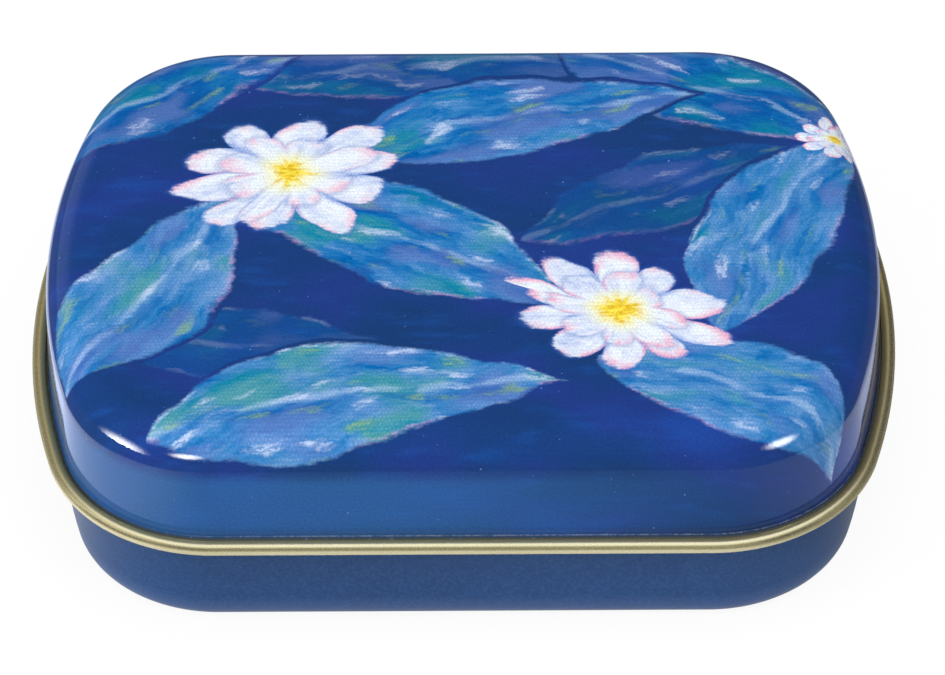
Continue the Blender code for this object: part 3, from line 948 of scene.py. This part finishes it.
def floor_as_mirrored(graph, rays):
    """The floor's hue as varnish and metal see it: bright by the tin and dim farther off."""
    place = graph.node("ShaderNodeTexCoord").outputs["Object"]
    x, y, _ = graph.separate(place)
    across = graph.math("ABSOLUTE", x)
    sideways = graph.step(across, SIDES_FROM, SIDES_TO)
    left_or_right = graph.math("GREATER_THAN", x, 0.0)
    far = graph.step(graph.vector("LENGTH", place), POOL_RADIUS, POOL_EDGE)
    far = graph.math("MAXIMUM", far, graph.step(across, SIDES_FADE, SIDES_END))

    varnish = graph.mix(left_or_right, VARNISH_FLOOR_LEFT, VARNISH_FLOOR_RIGHT)
    rearward = graph.step(y, -0.2 * HALF_DEPTH, HALF_DEPTH, 0.0, 0.35)
    varnish = graph.mix(rearward, varnish, VARNISH_FLOOR_FAR)
    varnish = graph.mix(sideways, VARNISH_FLOOR_FRONT, varnish)
    varnish = graph.mix(far, varnish, VARNISH_FLOOR_FAR)

    metal = graph.mix(left_or_right, METAL_FLOOR_LEFT, METAL_FLOOR_RIGHT)
    metal = graph.mix(sideways, METAL_FLOOR_FRONT, metal)
    rear = graph.mix(left_or_right, METAL_FLOOR_REAR_LEFT, METAL_FLOOR_REAR_RIGHT)
    rearward = graph.math("MAXIMUM", far, graph.step(y, -0.5 * HALF_DEPTH, 0.0))
    metal = graph.mix(rearward, metal, rear)
    return graph.mix(rays["Is Singular Ray"], metal, varnish)


def make_floor():
    """A plain white floor that keeps a soft shadow."""
    material, graph, shader = new_material("white_floor")
    shader.inputs["Base Color"].default_value = colour(238, 238, 238)
    shader.inputs["Roughness"].default_value = 0.9
    rays = graph.node("ShaderNodeLightPath").outputs
    tint = graph.mix(rays["Is Camera Ray"], floor_as_mirrored(graph, rays), (1, 1, 1, 1))
    bright = graph.node("ShaderNodeEmission", {"Color": tint, "Strength": 1.0}).outputs[0]
    seen = graph.math("MAXIMUM", rays["Is Camera Ray"], rays["Is Glossy Ray"])
    seen = graph.math("MAXIMUM", seen, rays["Is Transmission Ray"])
    share = graph.math("MULTIPLY", seen, FLOOR_SELF_LIT_SHARE)
    inputs = {0: share, 1: shader.outputs[0], 2: bright}
    mixed = graph.node("ShaderNodeMixShader", inputs).outputs[0]
    graph.feed(material.node_tree.nodes["Material Output"].inputs["Surface"], mixed)
    bm = bmesh.new()
    bmesh.ops.create_circle(bm, cap_ends=True, segments=FLOOR_CORNERS, radius=FLOOR_RADIUS)
    floor = add_object("floor", mesh_from("floor", bm), (material,))


def direction(azimuth, elevation):
    """The way to a light: azimuth 0 is in front of the tin, and positive to its right."""
    turn, rise = math.radians(azimuth), math.radians(elevation)
    flat = math.cos(rise)
    return Vector((math.sin(turn) * flat, -math.cos(turn) * flat, math.sin(rise)))


def add_lamp(name, azimuth, elevation, distance, width, height, radiance):
    """An area lamp of the given radiance that faces the tin, and that nothing mirrors."""
    lamp = bpy.data.lights.new(name, "AREA")
    lamp.shape = "RECTANGLE"
    lamp.size = width
    lamp.size_y = height
    lamp.energy = 4 * width * height * radiance
    obj = bpy.data.objects.new(name, lamp)
    bpy.context.scene.collection.objects.link(obj)
    away = direction(azimuth, elevation)
    obj.location = away * distance + Vector((0, 0, LID_TOP))
    obj.rotation_euler = away.to_track_quat("Z", "Y").to_euler()
    obj.visible_glossy = False


def add_glint(name, azimuth, elevation, width, height, radiance):
    """A small bright card with soft edges that only the varnish mirrors."""
    material, graph, _ = new_material(name)
    place = graph.node("ShaderNodeTexCoord").outputs["Object"]
    from_middle = graph.vector("LENGTH", graph.vector("DIVIDE", place, (width, height, 1.0)))
    strength = graph.math("POWER", graph.step(from_middle, 0.5, 0.08), 1.6)
    rays = graph.node("ShaderNodeLightPath").outputs
    mirrored = graph.math("MULTIPLY", rays["Is Singular Ray"], radiance)
    strength = graph.math("MULTIPLY", strength, mirrored)
    bright = graph.node("ShaderNodeEmission", {"Strength": strength}).outputs[0]
    graph.feed(material.node_tree.nodes["Material Output"].inputs["Surface"], bright)
    material.cycles.emission_sampling = "NONE"
    bm = bmesh.new()
    corners = ((-1, -1), (1, -1), (1, 1), (-1, 1))
    bm.faces.new([bm.verts.new((x * width / 2, y * height / 2, 0)) for x, y in corners])
    card = add_object(name, mesh_from(name, bm), (material,))
    away = direction(azimuth, elevation)
    card.location = away * GLINT_DISTANCE + Vector((0, 0, LID_TOP))
    card.rotation_euler = away.to_track_quat("Z", "Y").to_euler()
    card.visible_camera = False
    card.visible_diffuse = False
    card.visible_shadow = False


def light_studio():
    """Soft light from above and from the left, three small cards low in front, and a dim room."""
    for lamp in LAMPS:
        add_lamp(*lamp)
    for glint in GLINTS:
        add_glint(*glint)

    world = bpy.data.worlds.new("studio")
    world.use_nodes = True
    bpy.context.scene.world = world
    graph = Graph(world.node_tree)
    right, back, up = graph.separate(graph.node("ShaderNodeTexCoord").outputs["Generated"])
    rear = graph.mix(graph.step(right, -0.2, 0.2), METAL_ROOM_LEFT, METAL_ROOM_RIGHT)
    metal = graph.mix(graph.step(back, -0.4, 0.6), METAL_ROOM_FRONT, rear)
    far_left = graph.math("MULTIPLY", graph.step(right, -0.50, -0.80), graph.step(back, 0.35, 0.0))
    metal = graph.mix(far_left, metal, METAL_ROOM_FAR_LEFT)
    metal = graph.mix(graph.step(up, 0.66, 0.88), metal, METAL_CEILING)
    rays = graph.node("ShaderNodeLightPath").outputs
    rearward = graph.math("MULTIPLY_ADD", right, -0.25, back)
    low_rear = graph.math("MULTIPLY", graph.step(rearward, 0.66, 0.88), graph.step(up, 0.54, 0.32))
    varnish = graph.mix(low_rear, VARNISH_ROOM, VARNISH_ROOM_REAR)
    seen = graph.mix(rays["Is Singular Ray"], metal, varnish)
    seen = graph.mix(rays["Is Camera Ray"], seen, (1, 1, 1, 1))
    background = world.node_tree.nodes["Background"]
    graph.feed(background.inputs["Color"], seen)
    background.inputs["Strength"].default_value = 1.0


def make_camera():
    data = bpy.data.cameras.new("camera")
    data.lens = CAMERA_LENS
    data.sensor_width = CAMERA_SENSOR
    data.clip_start = CAMERA_NEAR
    camera = bpy.data.objects.new("camera", data)
    bpy.context.scene.collection.objects.link(camera)
    turned = (
        Matrix.Rotation(-CAMERA_YAW, 4, "Z")
        @ Matrix.Rotation(QUARTER - CAMERA_ELEVATION, 4, "X")
        @ Matrix.Rotation(CAMERA_ROLL, 4, "Z")
    )
    camera.matrix_world = Matrix.Translation(CAMERA_PLACE) @ turned
    bpy.context.scene.camera = camera


def main():
    print_face = print_material()
    lacquer = lacquer_material()
    make_lid(print_face, lacquer)
    make_base(base_paint_material(), lacquer)
    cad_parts["hinge_wire"].material_slots[0].material = steel_material()
    make_floor()
    light_studio()
    make_camera()
    bpy.context.scene.view_settings.view_transform = "Standard"


main()
